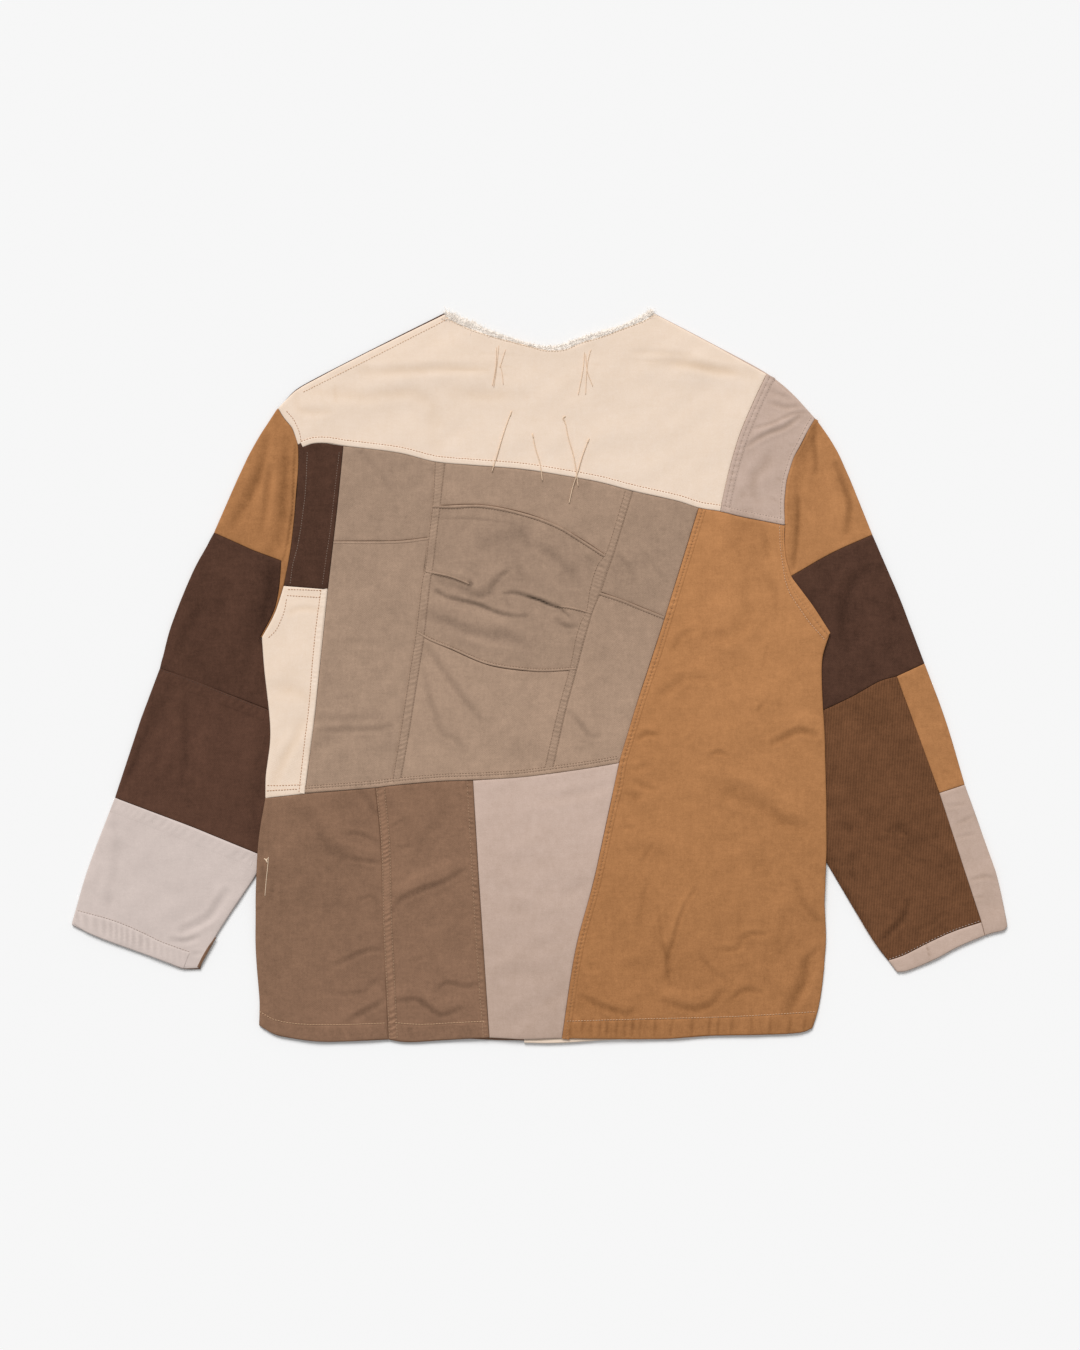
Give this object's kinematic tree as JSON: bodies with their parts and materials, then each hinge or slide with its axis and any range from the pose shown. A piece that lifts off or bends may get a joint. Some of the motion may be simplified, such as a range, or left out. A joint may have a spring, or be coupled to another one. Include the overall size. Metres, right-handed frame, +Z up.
{
  "type": "patchwork jacket laid flat",
  "caption": "Collarless long-sleeved cotton jacket pieced from old work trousers, laid flat with its back up and its sleeves tucked under the sides.",
  "frame": {"origin": "middle of the laid-out jacket's bounding box, on the surface that it lies on", "axes": "+Z up out of the surface, so the jacket's back faces +Z; +Y towards the neck; +X towards the wearer's right sleeve"},
  "size_m": [0.9626, 0.756, 0.0086],
  "materials": {
    "cream_twill": "matt cotton twill, cream, faded at the seams",
    "mauve_twill": "matt brushed cotton, dusty mauve",
    "pale_mauve_cotton": "matt fine cotton, pale mauve",
    "taupe_twill": "matt washed cotton twill, taupe",
    "tan_canvas": "matt cotton duck, tan",
    "brown_twill": "matt cotton twill, mid brown",
    "dark_twill": "matt cotton twill, dark brown",
    "corduroy": "fine-wale cotton corduroy, brown",
    "raw_cotton": "loose raw cotton threads, off-white"
  },
  "bodies": {
    "root": {"back_yoke": "cream_twill", "back_yoke_end": "mauve_twill", "neck_fray": "raw_cotton", "back_strip_dark": "dark_twill", "back_strip_cream": "cream_twill", "taupe_left_upper": "taupe_twill", "taupe_left_lower": "taupe_twill", "taupe_top": "taupe_twill", "taupe_knee": "taupe_twill", "taupe_low": "taupe_twill", "taupe_right_upper": "taupe_twill", "taupe_right_lower": "taupe_twill", "brown_left": "brown_twill", "brown_right": "brown_twill", "mauve_low": "mauve_twill", "tan_right": "tan_canvas", "front_left_yoke": "dark_twill", "front_left": "brown_twill", "front_right_yoke": "mauve_twill", "front_right": "cream_twill", "sleeve_l_cap": "tan_canvas", "sleeve_l_upper": "dark_twill", "sleeve_l_lower": "dark_twill", "sleeve_l_cuff": "pale_mauve_cotton", "sleeve_l_under": "brown_twill", "sleeve_r_cap": "tan_canvas", "sleeve_r_dark": "dark_twill", "sleeve_r_cord": "corduroy", "sleeve_r_strip_tan": "tan_canvas", "sleeve_r_strip_mauve": "mauve_twill", "sleeve_r_band": "mauve_twill", "sleeve_r_under": "tan_canvas"}
  },
  "joints": []
}
